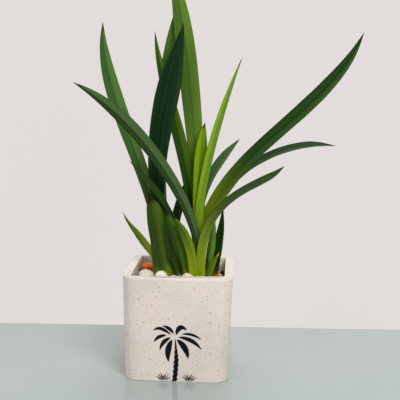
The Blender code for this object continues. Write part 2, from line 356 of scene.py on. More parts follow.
@dataclass(frozen=True)
class GlazeFinish:
    """Cream satin glaze with grey-brown specks and a lighter rim, partly thinner glaze and partly a painted
    highlight, over a bare clay foot.
    """

    cream: Colour = paint(222, 211, 202)
    blush: Colour = paint(222, 206, 200)
    shade: Colour = paint(212, 202, 193)
    # Rim colour: glaze running thin at the rim, with a painted highlight on the rim top.
    edge: Colour = paint(240, 230, 221)
    speck: Colour = paint(122, 108, 98)
    clay: Colour = paint(190, 172, 150)

    def material(self, rim: float) -> bpy.types.Material:
        """Make the material.

        Args:
            rim: Height of the pot's rim, in metres.

        Returns:
            The material.
        """
        surface = Surface("glaze")
        clouds = surface.noise(26.0, 3.0)
        blushes = surface.noise(48.0, 2.0, surface.place(shift=(3.0, 1.0, 2.0)))
        grain = surface.noise(1500.0, 2.0)
        ripple = surface.noise(320.0, 2.0)
        height = surface.height()
        colour = surface.mix(clouds.ease(0.35, 0.7), self.cream, self.shade)
        colour = surface.mix(blushes.ease(0.45, 0.75) * 0.7, colour, self.blush)
        # Painted highlight and thin glaze: the top 2.6 mm under the rim are lightened towards the rim
        # colour.
        rim_glaze_and_highlight = height.ease(rim - 2.6 * MM, rim - 0.6 * MM)
        colour = surface.mix(rim_glaze_and_highlight * 0.75, colour, self.edge)
        wide = surface.dots(3.0 * MM, 0.2, 0.85)
        small = surface.dots(1.5 * MM, 0.28, 0.85)
        fine = surface.dots(0.8 * MM, 0.34, 0.7)
        specks = (wide * 0.7).at_least(small * 0.56).at_least(fine * 0.36)
        colour = surface.mix(specks, colour, self.speck)
        bare = 1.0 - (height + grain * (0.3 * MM)).ease(0.25 * MM, 0.75 * MM)
        colour = surface.mix(bare, colour, self.clay)
        roughness = 0.33 + ripple * 0.1 + specks * 0.12 + bare * 0.4
        surface.set(Coat_Roughness=0.22, IOR=1.5)
        surface.feed(surface.shader.inputs["Coat Weight"], 0.25 - bare * 0.25)
        return surface.finish(colour, roughness, ripple * 0.7 + grain * 0.12 - specks * 0.3, 0.05 * MM)


@dataclass(frozen=True)
class InkFinish:
    """Fired print: nearly even, a little worn where the glaze is rough."""

    name: str
    ink: Colour
    worn: Colour

    def material(self) -> bpy.types.Material:
        """Make the material.

        Returns:
            The material.
        """
        surface = Surface(self.name)
        blots = surface.noise(420.0, 3.0)
        grain = surface.noise(2600.0, 2.0)
        colour = surface.mix(blots.ease(0.5, 0.85), self.ink, self.worn)
        surface.set(IOR=1.3)
        return surface.finish(colour, 0.42 + grain * 0.16, grain, 0.02 * MM)


@dataclass(frozen=True)
class LeafFinish:
    """Colours of one leaf: its halves, one painted lit and one painted shaded as light falls on its fold,
    its foot, its tip and its streaks.
    """

    # Painted light and shade: the left and right halves of the fold, one painted as the lit side and the
    # other as the shaded side.
    left: Colour
    right: Colour
    foot: Colour = paint(120, 145, 35)
    foot_reach: float = 0.22
    tip: Colour = paint(40, 42, 20)
    tip_reach: float = 0.035
    streak: Colour = paint(92, 128, 44)
    haze: Colour = paint(118, 140, 60)
    margin: Colour = paint(52, 44, 22)
    streaks: float = 0.16
    # Painted shade: how much darker the middle line is, in the crease of the fold.
    painted_crease_shade: float = 0.22
    roughness: float = 0.42

    def material(self, name: str, seed: float) -> bpy.types.Material:
        """Make the material. It reads the blade's own map: across in X, along in Y.

        Args:
            name: Name of the material.
            seed: Number that sets where the streaks fall.

        Returns:
            The material.
        """
        surface = Surface(name)
        places = surface.node("ShaderNodeUVMap", {"uv_map": Blade.MAP}).outputs["UV"]
        split = surface.node("ShaderNodeSeparateXYZ", None, {"Vector": places})
        across = Wire(surface, split.outputs["X"]) * 2.0 - 1.0
        along = Wire(surface, split.outputs["Y"])
        under = surface.node("ShaderNodeAttribute", {"attribute_name": Blade.UNDERSIDE})
        under = Wire(surface, under.outputs["Fac"])

        drift = surface.noise(1.0, 2.0, surface.point(across * 1.2, along * 4.0, seed)) - 0.5
        broad = surface.noise(1.0, 2.0, surface.point(across * 3.2, along * 1.6, seed + 5.0))
        lines = surface.noise(1.0, 3.0, surface.point(across * 13.0, along * 1.8, seed + 9.0))
        veins = surface.noise(1.0, 2.0, surface.point(across * 42.0, along * 3.0, seed))
        cells = surface.noise(1800.0)

        # Painted light and shade: the left half takes one colour and the right half the other, as if one
        # side of the fold were lit and the other shaded.
        colour = surface.mix((across + drift * 0.2).ease(-0.1, 0.1), self.left, self.right)
        colour = surface.mix(broad.ease(0.48, 0.72) * self.streaks, colour, self.streak)
        colour = surface.scaled(colour, 0.83 + lines * 0.34)
        colour = surface.scaled(colour, 0.94 + veins * 0.12)
        foot = 1.0 - (along + drift * 0.12 - abs(across) * 0.03).ease(0.0, self.foot_reach)
        colour = surface.mix(foot * 0.85, colour, surface.scaled(self.foot, 0.8 + lines * 0.4))
        # Painted shade: darker along the middle line of the leaf, in the crease of the fold.
        middle = 1.0 - abs(across + drift * 0.03).ease(0.02, 0.16)
        colour = surface.scaled(colour, 1.0 - middle * self.painted_crease_shade)
        pale = surface.scaled(surface.mix(0.35, colour, self.haze), 1.05)
        colour = surface.mix(under * 0.18, colour, pale)
        colour = surface.mix(abs(across).ease(0.88, 0.97) * 0.5, colour, self.margin)
        dry = (along + drift * 0.03).ease(1.0 - self.tip_reach * 1.5, 1.0 - self.tip_reach * 0.7)
        colour = surface.mix(dry * 0.9, colour, self.tip)

        roughness = self.roughness + lines * 0.1 + dry * 0.3
        surface.set(Specular_IOR_Level=0.2, IOR=1.32)
        relief = veins * 0.5 + lines * 0.45 + cells * 0.05
        return surface.finish(colour, roughness, relief, 0.06 * MM)


@dataclass(frozen=True)
class StoneFinish:
    """Water-worn stone with soft clouds, thin veins and small pits."""

    name: str
    body: Colour
    cloud: Colour
    vein: Colour
    roughness: float

    def material(self) -> bpy.types.Material:
        """Make the material.

        Returns:
            The material.
        """
        surface = Surface(self.name)
        clouds = surface.noise(170.0, 3.0)
        folds = surface.noise(240.0, 3.0, surface.place(shift=(2.0, 5.0, 1.0)))
        grain = surface.noise(1400.0, 3.0)
        pits = surface.dots(1.3 * MM, 0.22, 0.4)
        colour = surface.mix(clouds.ease(0.35, 0.68), self.body, self.cloud)
        vein = 1.0 - abs(folds - 0.5).ease(0.0, 0.035)
        colour = surface.mix(vein * 0.35, colour, self.vein)
        colour = surface.mix(pits * 0.4, colour, self.vein)
        colour = surface.scaled(colour, 0.93 + grain * 0.14)
        roughness = self.roughness + grain * 0.12 + pits * 0.15
        surface.set(Coat_Weight=0.1, Coat_Roughness=0.35)
        return surface.finish(colour, roughness, grain * 0.4 + clouds * 0.6 - pits * 0.5, 0.12 * MM)


@dataclass(frozen=True)
class EarthFinish:
    """Moist potting soil: dark crumbs, brown fibres and pale grit."""

    name: str
    dark: Colour = paint(44, 32, 24)
    brown: Colour = paint(92, 68, 46)
    grit: Colour = paint(150, 134, 110)

    def material(self) -> bpy.types.Material:
        """Make the material.

        Returns:
            The material.
        """
        surface = Surface(self.name)
        lumps = surface.noise(300.0, 5.0)
        fibres = surface.noise(420.0, 4.0, surface.place(scale=(1.0, 4.0, 2.0)))
        grain = surface.noise(1900.0, 4.0)
        colour = surface.mix(lumps.ease(0.35, 0.7), self.dark, self.brown)
        colour = surface.mix(fibres.ease(0.62, 0.78) * 0.5, colour, self.grit)
        colour = surface.mix(surface.dots(2.4 * MM, 0.16, 0.25) * 0.7, colour, self.grit)
        colour = surface.scaled(colour, 0.7 + grain * 0.6)
        return surface.finish(colour, 0.82 + grain * 0.16, lumps * 0.6 + grain * 0.4, 0.7 * MM)


@dataclass(frozen=True)
class StemFinish:
    """Pale stem tissue, ringed by the scars of fallen leaves."""

    pale: Colour = paint(150, 150, 80)
    scar: Colour = paint(96, 82, 46)

    def material(self) -> bpy.types.Material:
        """Make the material.

        Returns:
            The material.
        """
        surface = Surface("stem")
        rings = surface.noise(900.0, 2.0, surface.place(scale=(0.2, 0.2, 1.0)))
        grain = surface.noise(900.0, 3.0)
        colour = surface.mix(rings.ease(0.45, 0.65), self.pale, self.scar)
        colour = surface.scaled(colour, 0.85 + grain * 0.3)
        return surface.finish(colour, 0.6 + grain * 0.2, rings * 0.7 + grain * 0.3, 0.2 * MM)


@dataclass(frozen=True)
class TableFinish:
    """Pale table top with a faint, uneven sheen."""

    pale: Colour = paint(172, 183, 180)
    cool: Colour = paint(164, 176, 173)

    def material(self) -> bpy.types.Material:
        """Make the material.

        Returns:
            The material.
        """
        surface = Surface("table")
        clouds = surface.noise(5.0, 2.0)
        grain = surface.noise(600.0, 2.0)
        colour = surface.mix(clouds.ease(0.3, 0.7), self.pale, self.cool)
        surface.set(IOR=1.55)
        return surface.finish(colour, 0.07 + clouds * 0.05, grain, 0.002 * MM)


@dataclass(frozen=True)
class WallFinish:
    """Evenly lit pale wall."""

    glow: Colour
    body: Colour = paint(20, 20, 20)

    def material(self) -> bpy.types.Material:
        """Make the material.

        Returns:
            The material.
        """
        surface = Surface("wall")
        clouds = surface.noise(0.6, 2.0)
        surface.set(Emission_Strength=1.0, Roughness=0.9)
        glow = surface.scaled(self.glow, 0.96 + clouds * 0.08)
        surface.feed(surface.shader.inputs["Base Color"], self.body)
        surface.feed(surface.shader.inputs["Emission Color"], glow)
        return surface.material


# --- Modelling tools -------------------------------------------------------------


class Part(Enum):
    """What a selection picks."""

    EDGES = (False, True, False)
    FACES = (False, False, True)


def deselect_all() -> None:
    """Leave nothing selected."""
    bpy.ops.object.select_all(action="DESELECT")


def pick(piece: bpy.types.Object) -> None:
    """Select one object alone and make it the active one.

    Args:
        piece: The object.
    """
    deselect_all()
    piece.select_set(True)
    bpy.context.view_layer.objects.active = piece


def start(primitive: Callable, **settings: object) -> bpy.types.Object:
    """Add a primitive with nothing else selected.

    Args:
        primitive: The operator that adds it.
        settings: The operator's settings.

    Returns:
        The new object.
    """
    deselect_all()
    primitive(**settings)
    return bpy.context.object


def join(pieces: list[bpy.types.Object]) -> bpy.types.Object:
    """Join pieces into the first of them.

    Args:
        pieces: The pieces.

    Returns:
        The joined piece.
    """
    pick(pieces[0])
    for piece in pieces:
        piece.select_set(True)
    bpy.ops.object.join()
    return bpy.context.object


def weld(piece: bpy.types.Object) -> None:
    """Merge the vertices of a picked piece that lie in one place.

    Args:
        piece: The piece.
    """
    bpy.ops.object.mode_set(mode="EDIT")
    bpy.ops.mesh.select_all(action="SELECT")
    bpy.ops.mesh.remove_doubles(threshold=WELD)
    bpy.ops.object.mode_set(mode="OBJECT")


def settle(piece: bpy.types.Object, name: str) -> None:
    """Name a piece and put its place into its mesh.

    Args:
        piece: The piece.
        name: Its name.
    """
    pick(piece)
    piece.name = name
    piece.data.name = name
    bpy.ops.object.transform_apply(location=True, rotation=True, scale=True)


def select_where(piece: bpy.types.Object, part: Part, test: Callable[[Vector, Vector], bool]) -> None:
    """Select by place and normal, in edit mode.

    Args:
        piece: The object in edit mode.
        part: Whether edges or faces are picked.
        test: Takes an element's centre and normal, and says if it is picked. An edge's
            normal is its direction.
    """
    bpy.context.tool_settings.mesh_select_mode = part.value
    bpy.ops.mesh.select_all(action="DESELECT")
    mesh = bmesh.from_edit_mesh(piece.data)
    if part is Part.EDGES:
        for edge in mesh.edges:
            start, end = (vert.co for vert in edge.verts)
            edge.select = test((start + end) / 2.0, (end - start).normalized())
    else:
        for face in mesh.faces:
            face.select = test(face.calc_center_median(), face.normal)
    mesh.select_flush_mode()
    bmesh.update_edit_mesh(piece.data)


def apply_modifier(piece: bpy.types.Object, kind: str, **settings: object) -> None:
    """Add a modifier and apply it.

    Args:
        piece: The object.
        kind: The modifier's type.
        settings: Its settings.
    """
    pick(piece)
    added = piece.modifiers.new(kind.lower(), kind)
    for name, value in settings.items():
        setattr(added, name, value)
    bpy.ops.object.modifier_apply(modifier=added.name)


def hand_over(piece: bpy.types.Object, material: bpy.types.Material, slot: str, *nodes: str) -> None:
    """Dress a finished piece, and let it ride on the model and stand for its nodes.

    Args:
        piece: The finished piece.
        material: Its material.
        slot: Not used.
        nodes: The solid model's nodes that it stands for.
    """
    piece.data.materials.clear()
    piece.data.materials.append(material)
    pick(piece)
    bpy.ops.object.shade_smooth()
    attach(piece, BODY)
    if nodes:
        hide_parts(*nodes)
    LOG.info("%s: %d faces", piece.name, len(piece.data.polygons))


# --- Pot -------------------------------------------------------------------------


@dataclass
class Pot:
    """The square slip-cast pot, with drafted walls and every edge rounded."""

    base_width: float = 75.0
    wall: float = 6.0
    floor: float = 6.0
    corner: float = 11.0
    inner_corner: float = 3.0
    rim_round: float = 2.6
    base_round: float = 4.8
    floor_round: float = 3.0
    bow: float = 0.15
    unevenness: float = 0.12
    waver_size: float = 26.0
    lean: float = 0.9
    piece: bpy.types.Object = field(init=False)

    def __post_init__(self) -> None:
        """Take the outer width and the height from the solid pot."""
        low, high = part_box("pot")
        self.width = (high.x - low.x) / MM
        self.height = (high.z - low.z) / MM

    def half_at(self, height: float) -> float:
        """Half of the outer width at a height."""
        return (self.base_width + (self.width - self.base_width) * height / self.height) / 2.0

    def build(self) -> None:
        """Model, dress and hand over the pot."""
        self._block()
        self._hollow()
        self._round_edges()
        self._cut_rows()
        bpy.ops.object.mode_set(mode="OBJECT")
        self._make_uneven()
        apply_modifier(self.piece, "SUBSURF", levels=2, render_levels=2)
        settle(self.piece, "glazed_pot")
        hand_over(self.piece, GlazeFinish().material(self.height * MM), "pot", "pot")

    def _block(self) -> None:
        """Start from a block as wide as the rim and draw its foot in."""
        size = (self.width * MM, self.width * MM, self.height * MM)
        middle = (0.0, 0.0, size[2] / 2.0)
        self.piece = start(bpy.ops.mesh.primitive_cube_add, size=1.0, location=middle, scale=size)
        bpy.ops.object.transform_apply(location=True, rotation=True, scale=True)
        bpy.ops.object.mode_set(mode="EDIT")
        draft = self.base_width / self.width
        select_where(self.piece, Part.FACES, lambda centre, normal: normal.z < -0.9)
        bpy.ops.transform.resize(value=(draft, draft, 1.0))

    def _hollow(self) -> None:
        """Inset the top by the wall and push it down to the floor."""
        drop = self.height - self.floor
        inner_top = self.width / 2.0 - self.wall
        inner_low = self.half_at(self.floor) - self.wall
        select_where(self.piece, Part.FACES, lambda centre, normal: normal.z > 0.9)
        bpy.ops.mesh.inset(thickness=self.wall * MM)
        bpy.ops.mesh.extrude_region_move(TRANSFORM_OT_translate={"value": (0.0, 0.0, -drop * MM)})
        bpy.ops.transform.resize(value=(inner_low / inner_top, inner_low / inner_top, 1.0))

    def _round_edges(self) -> None:
        """Bevel the upright edges first, then the rim, the foot and the floor."""
        top = self.height * MM
        floor = self.floor * MM
        split = (self.width / 2.0 - self.wall / 2.0) * MM
        low_split = (self.half_at(0.0) - self.wall / 2.0) * MM

        def upright(centre: Vector, along: Vector) -> bool:
            """Whether an edge stands up."""
            return abs(along.z) > 0.9

        def outer(centre: Vector) -> bool:
            """Whether a place is on the outer side of the wall."""
            share = centre.z / top
            return max(abs(centre.x), abs(centre.y)) > low_split + (split - low_split) * share

        rounds = (
            (lambda c, d: upright(c, d) and outer(c), self.corner, 8),
            (lambda c, d: upright(c, d) and not outer(c), self.inner_corner, 6),
            (lambda c, d: c.z > top - WELD and abs(d.z) < 0.1, self.rim_round, 5),
            (lambda c, d: c.z < WELD, self.base_round, 6),
            (lambda c, d: abs(c.z - floor) < WELD and not outer(c), self.floor_round, 4),
        )
        for test, radius, steps in rounds:
            select_where(self.piece, Part.EDGES, test)
            bpy.ops.mesh.bevel(offset=radius * MM, segments=steps, affect="EDGES", clamp_overlap=True)

    def _cut_rows(self, spacing: float = 9.0) -> None:
        """Cut the wide walls into rows and columns, so that they can bow.

        Args:
            spacing: Rough distance between cuts.
        """
        half = self.half_at(0.0) - self.corner
        columns = int(2.0 * half / spacing)
        across = [(-half + 2.0 * half * step / columns) * MM for step in range(columns + 1)]
        rows = int((self.height - 2.0 * self.base_round) / spacing)
        tall = self.height - 2.0 * self.base_round
        up = [(self.base_round + tall * step / rows) * MM for step in range(1, rows + 1)]
        cuts = [((x, 0.0, 0.0), (1.0, 0.0, 0.0)) for x in across]
        cuts += [((0.0, y, 0.0), (0.0, 1.0, 0.0)) for y in across]
        cuts += [((0.0, 0.0, z), (0.0, 0.0, 1.0)) for z in up]
        for place, normal in cuts:
            bpy.ops.mesh.select_all(action="SELECT")
            bpy.ops.mesh.bisect(plane_co=place, plane_no=normal)

    def _make_uneven(self) -> None:
        """Bow the walls out slightly, make them a little uneven and let the front rim lean."""
        half = self.width / 2.0 * MM
        top = self.height * MM
        for vert in self.piece.data.vertices:
            place = vert.co
            level = math.sin(math.pi * min(max(place.z / top, 0.0), 1.0))
            if abs(place.x) > abs(place.y):
                outward, aside = Vector((math.copysign(1.0, place.x), 0.0, 0.0)), place.y
            else:
                outward, aside = Vector((0.0, math.copysign(1.0, place.y), 0.0)), place.x
            middle = max(1.0 - (aside / half) ** 2, 0.0)
            waver = noise.noise(place / (self.waver_size * MM)) * self.unevenness
            front = ease(0.0, -half, place.y) if place.y < 0.0 else 0.0
            tilt = Vector((0.0, 0.0, self.lean * front * place.x / half * max(place.z, 0.0) / top))
            vert.co = place + (outward * (self.bow * middle + waver) * level + tilt) * MM


# --- Printed palm ----------------------------------------------------------------


@dataclass(frozen=True)
class Frond:
    """One crescent of the print: it leaves its root, rises towards its crest and ends at its tip."""

    root: tuple[float, float]
    crest: tuple[float, float]
    tip: tuple[float, float]
    width: float

    def outline(self, base: Vector, share: float, side: float) -> Vector:
        """Find a place on the crescent.

        Args:
            base: Where the whole plant of the print stands.
            share: How far along.
            side: Place across, from -1 to 1.

        Returns:
            The place.
        """
        root, crest, tip = Vector(self.root), Vector(self.crest), Vector(self.tip)
        rest = 1.0 - share
        place = root * rest * rest + crest * 2.0 * share * rest + tip * share * share
        heading = (crest - root) * rest + (tip - crest) * share
        across = Vector((-heading.y, heading.x)).normalized()
        swell = math.sin(math.pi * share ** 0.85) ** 0.8
        return base + place + across * (side * swell * self.width / 2.0)


@dataclass
class PalmPrint:
    """A palm between two tufts of grass, printed on the front of the pot."""

    pot: Pot
    foot: float = 0.7
    trunk_height: float = 32.2
    trunk_top: float = 0.8
    trunk_swell: float = 2.5
    scallop: float = 0.5
    bend: float = 1.1
    rings: float = 9.0
    stretch: tuple[float, float] = (1.03, 1.06)
    aside: float = -0.7
    film: float = 0.06
    thickness: float = 0.1
    fronds: tuple[Frond, ...] = (
        Frond((-0.9, 33.3), (-3.8, 37.7), (-8.8, 38.5), 2.4),
        Frond((-2.6, 32.3), (-11.0, 39.5), (-15.2, 34.7), 2.3),
        Frond((-5.8, 32.0), (-12.0, 31.8), (-14.6, 26.7), 2.4),
        Frond((-3.0, 30.4), (-9.2, 27.8), (-10.3, 21.4), 2.8),
        Frond((-2.0, 29.0), (-6.2, 21.1), (-4.0, 13.4), 4.2),
        Frond((0.8, 32.3), (2.6, 41.0), (8.3, 35.7), 3.5),
        Frond((4.6, 33.0), (12.5, 34.4), (18.3, 29.4), 1.9),
        Frond((2.5, 30.9), (12.8, 30.4), (18.6, 22.4), 2.9),
        Frond((1.3, 29.2), (8.6, 24.2), (9.3, 15.8), 4.2),
    )
    tufts: tuple[float, ...] = (-8.8, 9.8)
    blades: tuple[Frond, ...] = (
        Frond((-1.6, 0.0), (-2.8, 2.4), (-5.2, 3.2), 0.85),
        Frond((-1.1, 0.0), (-1.9, 3.6), (-3.8, 4.9), 0.8),
        Frond((-0.5, 0.0), (-0.8, 4.0), (-1.9, 5.8), 0.85),
        Frond((0.0, 0.0), (-0.1, 2.8), (0.3, 4.7), 0.7),
        Frond((0.5, 0.0), (1.0, 4.0), (2.2, 5.6), 0.85),
        Frond((1.1, 0.0), (2.1, 3.2), (4.1, 4.5), 0.8),
        Frond((1.6, 0.0), (3.1, 2.0), (5.3, 2.7), 0.8),
    )

    def build(self) -> None:
        """Model, dress and hand over the print."""
        base = Vector((self.aside, self.foot))
        palm = [self._strip(self._stretched(frond, base)) for frond in self.fronds]
        palm.append(self._strip(self._trunk, 96))
        self._print(palm, "palm_print", InkFinish("palm_ink", paint(5, 9, 14), paint(14, 20, 27)))
        grass = []
        for middle in self.tufts:
            root = Vector((middle, self.foot))
            for blade in self.blades:
                grass.append(self._strip(lambda share, side, f=blade, r=root: f.outline(r, share, side)))
        self._print(grass, "grass_print", InkFinish("grass_ink", paint(34, 26, 25), paint(62, 50, 47)))

    def _stretched(self, frond: Frond, base: Vector) -> Callable[[float, float], Vector]:
        """The outline of a frond, stretched to the print's size.

        Args:
            frond: The frond.
            base: Where the plant of the print stands.

        Returns:
            The outline, for a share along and a side from -1 to 1.
        """

        def outline(share: float, side: float) -> Vector:
            """Place on the stretched frond."""
            place = frond.outline(Vector((0.0, 0.0)), share, side)
            return base + Vector((place.x * self.stretch[0], place.y * self.stretch[1]))

        return outline

    def _trunk(self, share: float, side: float) -> Vector:
        """Place on the trunk: it tapers, leans a little and has a ringed, scalloped edge.

        Args:
            share: How far up.
            side: Place across, from -1 to 1.

        Returns:
            The place.
        """
        width = self.trunk_top + self.trunk_swell * (1.0 - ease(0.4, 1.0, share))
        ring = (share * self.rings + 0.3 * math.copysign(1.0, side)) % 1.0
        width *= 1.0 + self.scallop * (ring - 0.5) * (1.0 - ease(0.75, 0.95, share))
        lean = self.aside + self.bend * math.sin(math.pi * share) + 0.1 * share
        taper = min(1.0, (1.0 - share) * 12.0)
        return Vector((lean + side * width / 2.0 * taper, self.foot - 0.2 + share * self.trunk_height))

    def _strip(self, outline: Callable[[float, float], Vector], steps: int = 28) -> bpy.types.Object:
        """Shape a flat strip on the plane of the front.

        Args:
            outline: Gives the place for a share along and a side from -1 to 1.
            steps: Faces along the strip.

        Returns:
            The strip.
        """
        strip = start(bpy.ops.mesh.primitive_grid_add, x_subdivisions=4, y_subdivisions=steps, size=2.0)
        for vert in strip.data.vertices:
            place = outline((vert.co.y + 1.0) / 2.0, vert.co.x)
            vert.co = Vector((place.x * MM, -self.pot.width * MM, place.y * MM))
        return strip

    def _print(self, strips: list[bpy.types.Object], name: str, ink: InkFinish) -> None:
        """Join the strips, lay them on the glaze and give them their thickness.

        Args:
            strips: The flat strips.
            name: Name of the piece.
            ink: Its finish.
        """
        piece = join(strips)
        weld(piece)
        wrap = {"wrap_method": "PROJECT", "wrap_mode": "ABOVE_SURFACE", "offset": self.film * MM}
        ways = {"use_project_y": True, "use_positive_direction": True}
        apply_modifier(piece, "SHRINKWRAP", target=self.pot.piece, **wrap, **ways)
        self._face_out(piece)
        apply_modifier(piece, "SOLIDIFY", thickness=self.thickness * MM, offset=-1.0)
        settle(piece, name)
        hand_over(piece, ink.material(), "pot")

    def _face_out(self, piece: bpy.types.Object) -> None:
        """Turn the faces that look into the pot.

        Args:
            piece: The print.
        """
        mesh = bmesh.new()
        mesh.from_mesh(piece.data)
        turned = [face for face in mesh.faces if face.normal.y > 0.0]
        bmesh.ops.reverse_faces(mesh, faces=turned)
        mesh.to_mesh(piece.data)
        mesh.free()


# --- Soil ------------------------------------------------------------------------


@dataclass
class Soil:
    """The block of soil, its crumbly top and the loose crumbs on it."""

    corner: float = 3.0
    rows: int = 110
    relief: float = 1.5
    lump_size: float = 7.0
    sunken: float = 0.5
    draw_in: float = 0.94
    crumbs: int = 420
    smallest: float = 0.5
    largest: float = 1.5

    def __post_init__(self) -> None:
        """Take the block's size from the solid soil."""
        low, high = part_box("soil")
        self.half = high.x / MM
        self.low = low.z / MM
        self.top = high.z / MM

    def level(self, x: float, y: float) -> float:
        """Height of the soil's top at a place.

        Args:
            x: Place across.
            y: Place in depth.

        Returns:
            The height.
        """
        place = Vector((x, y, 0.0)) / self.lump_size
        lumps = noise.noise(place) * 0.6 + noise.noise(place * 3.1) * 0.35 + noise.noise(place * 8.0) * 0.2
        return self.top - self.sunken + lumps * self.relief

    def build(self) -> None:
        """Model, dress and hand over the soil and its crumbs."""
        bed = self._bed()
        settle(bed, "soil_bed")
        hand_over(bed, EarthFinish("soil").material(), "soil", "soil")
        crumbs = self._crumbs()
        settle(crumbs, "soil_crumbs")
        crumb_finish = EarthFinish("crumbs", paint(56, 40, 28), paint(112, 84, 58), paint(176, 164, 142))
        hand_over(crumbs, crumb_finish.material(), "soil")

    def _bed(self) -> bpy.types.Object:
        """A block with a crumbly top: a fine grid, with its border drawn down.

        Returns:
            The block.
        """
        add = bpy.ops.mesh.primitive_grid_add
        bed = start(add, x_subdivisions=self.rows, y_subdivisions=self.rows, size=2.0)
        for vert in bed.data.vertices:
            x, y = self._rounded(vert.co.x * self.half, vert.co.y * self.half)
            vert.co = Vector((x, y, self.level(x, y))) * MM
        bpy.ops.object.mode_set(mode="EDIT")
        mesh = bmesh.from_edit_mesh(bed.data)
        for edge in mesh.edges:
            edge.select = edge.is_boundary
        bmesh.update_edit_mesh(bed.data)
        bpy.context.tool_settings.mesh_select_mode = Part.EDGES.value
        depth = self.top - self.low
        bpy.ops.mesh.extrude_region_move(TRANSFORM_OT_translate={"value": (0.0, 0.0, -depth * MM)})
        bpy.ops.transform.resize(value=(self.draw_in, self.draw_in, 0.0))
        bpy.ops.mesh.edge_face_add()
        bpy.ops.mesh.select_all(action="SELECT")
        bpy.ops.mesh.normals_make_consistent(inside=False)
        bpy.ops.object.mode_set(mode="OBJECT")
        return bed

    def _rounded(self, x: float, y: float) -> tuple[float, float]:
        """Pull a place near a corner of the square inside the corner's round.

        Args:
            x: Place across.
            y: Place in depth.

        Returns:
            The place inside.
        """
        inner = self.half - self.corner
        over = Vector((max(abs(x) - inner, 0.0), max(abs(y) - inner, 0.0)))
        if over.x > 0.0 and over.y > 0.0:
            over *= max(over.x, over.y) / over.length
            x = math.copysign(inner + over.x, x)
            y = math.copysign(inner + over.y, y)
        return x, y

    def _crumbs(self) -> bpy.types.Object:
        """Loose crumbs: one lump, copied with its own mesh and joined.

        Returns:
            The crumbs, as one piece.
        """
        draw = random.Random(11)
        first = start(bpy.ops.mesh.primitive_ico_sphere_add, subdivisions=1, radius=1.0)
        lumps = []
        for number in range(self.crumbs):
            lump = first.copy()
            lump.data = first.data.copy()
            bpy.context.scene.collection.objects.link(lump)
            reach = self.half - self.largest - 0.5
            x, y = draw.uniform(-reach, reach), draw.uniform(-reach, reach)
            size = self.smallest + (self.largest - self.smallest) * draw.random() ** 2
            for vert in lump.data.vertices:
                vert.co = vert.co * draw.uniform(0.7, 1.1)
            turn = Matrix.Rotation(draw.uniform(0.0, math.tau), 4, Vector((x, y, 1.0)))
            wide, high = size * draw.uniform(0.6, 1.0), size * draw.uniform(0.5, 0.9)
            shape = Matrix.Diagonal((size, wide, high, 1.0))
            place = Matrix.Translation((x * MM, y * MM, (self.level(x, y) + size * 0.3) * MM))
            lump.data.transform(place @ turn @ shape @ Matrix.Scale(MM, 4))
            lumps.append(lump)
        bpy.data.objects.remove(first)
        return join(lumps)


# --- Leaves ----------------------------------------------------------------------


@dataclass
class Section:
    """One cross-section of a leaf: its margins and the two faces of its middle."""

    left: Vector
    right: Vector
    upper: Vector
    lower: Vector

    @classmethod
    def read(cls, points: list[Vector]) -> Section:
        """Find a section in its unordered points.

        Args:
            points: The section's points, or the tip alone.

        Returns:
            The section. Its margins are the two points farthest apart, and the upper
            side, which is hollow, is the nearer to the line between them.
        """
        if len(points) == 1:
            return cls(*(points * 4))
        pairs = [(a, b) for i, a in enumerate(points) for b in points[i + 1:]]
        left, right = max(pairs, key=lambda pair: (pair[0] - pair[1]).length)
        chord = (right - left).normalized()
        middle = (left + right) / 2.0

        def from_middle(point: Vector) -> float:
            """Distance from the middle, along the chord."""
            return abs((point - middle).dot(chord))

        def from_chord(point: Vector) -> float:
            """Distance from the chord."""
            offset = point - middle
            return (offset - chord * offset.dot(chord)).length

        centre_pair = sorted(points, key=from_middle)[:2]
        upper, lower = sorted(centre_pair, key=from_chord)
        return cls(left, right, upper, lower)

    def turned(self) -> Section:
        """The same section with its margins named the other way."""
        return Section(self.right, self.left, self.upper, self.lower)

    def parts(self) -> tuple[Vector, Vector, Vector, Vector]:
        """Its four points in order."""
        return self.left, self.right, self.upper, self.lower


def read_sections(node: bpy.types.Object) -> list[Section]:
    """Read a solid leaf's sections from its foot to its tip.

    Args:
        node: The solid leaf. Its foot is level, and each ring of points touches the next.

    Returns:
        The sections, with the margins named alike, the right one at +X where they differ.
    """
    mesh = bmesh.new()
    mesh.from_mesh(node.data)
    bmesh.ops.remove_doubles(mesh, verts=mesh.verts, dist=WELD)
    mesh.verts.index_update()
    foot = min(vert.co.z for vert in mesh.verts)
    ring = [vert for vert in mesh.verts if vert.co.z < foot + WELD]
    seen = set(ring)
    sections: list[Section] = []
    while ring:
        section = Section.read([vert.co.copy() for vert in ring])
        if sections and (section.right - section.left).dot(sections[-1].right - sections[-1].left) < 0.0:
            section = section.turned()
        sections.append(section)
        beyond = {edge.other_vert(vert) for vert in ring for edge in vert.link_edges} - seen
        seen |= beyond
        ring = sorted(beyond, key=lambda vert: vert.index)
    mesh.free()
    middle = sections[len(sections) * 2 // 3]
    if middle.right.x < middle.left.x:
        sections = [section.turned() for section in sections]
    return sections


def curve_through(points: list[Vector], share: float) -> Vector:
    """Read a smooth curve that passes through evenly spaced points.

    Args:
        points: The points.
        share: How far along, from 0 to 1.

    Returns:
        The place on the curve.
    """
    last = len(points) - 1
    start = min(int(share * last), last - 1)
    t = share * last - start
    before = points[start - 1] if start else points[0] * 2.0 - points[1]
    after = points[start + 2] if start + 2 <= last else points[last] * 2.0 - points[last - 1]
    here, there = points[start], points[start + 1]
    bend = (before * 2.0 - here * 5.0 + there * 4.0 - after) * t * t
    twist = (here * 3.0 - before - there * 3.0 + after) * t * t * t
    return (here * 2.0 + (there - before) * t + bend + twist) * 0.5


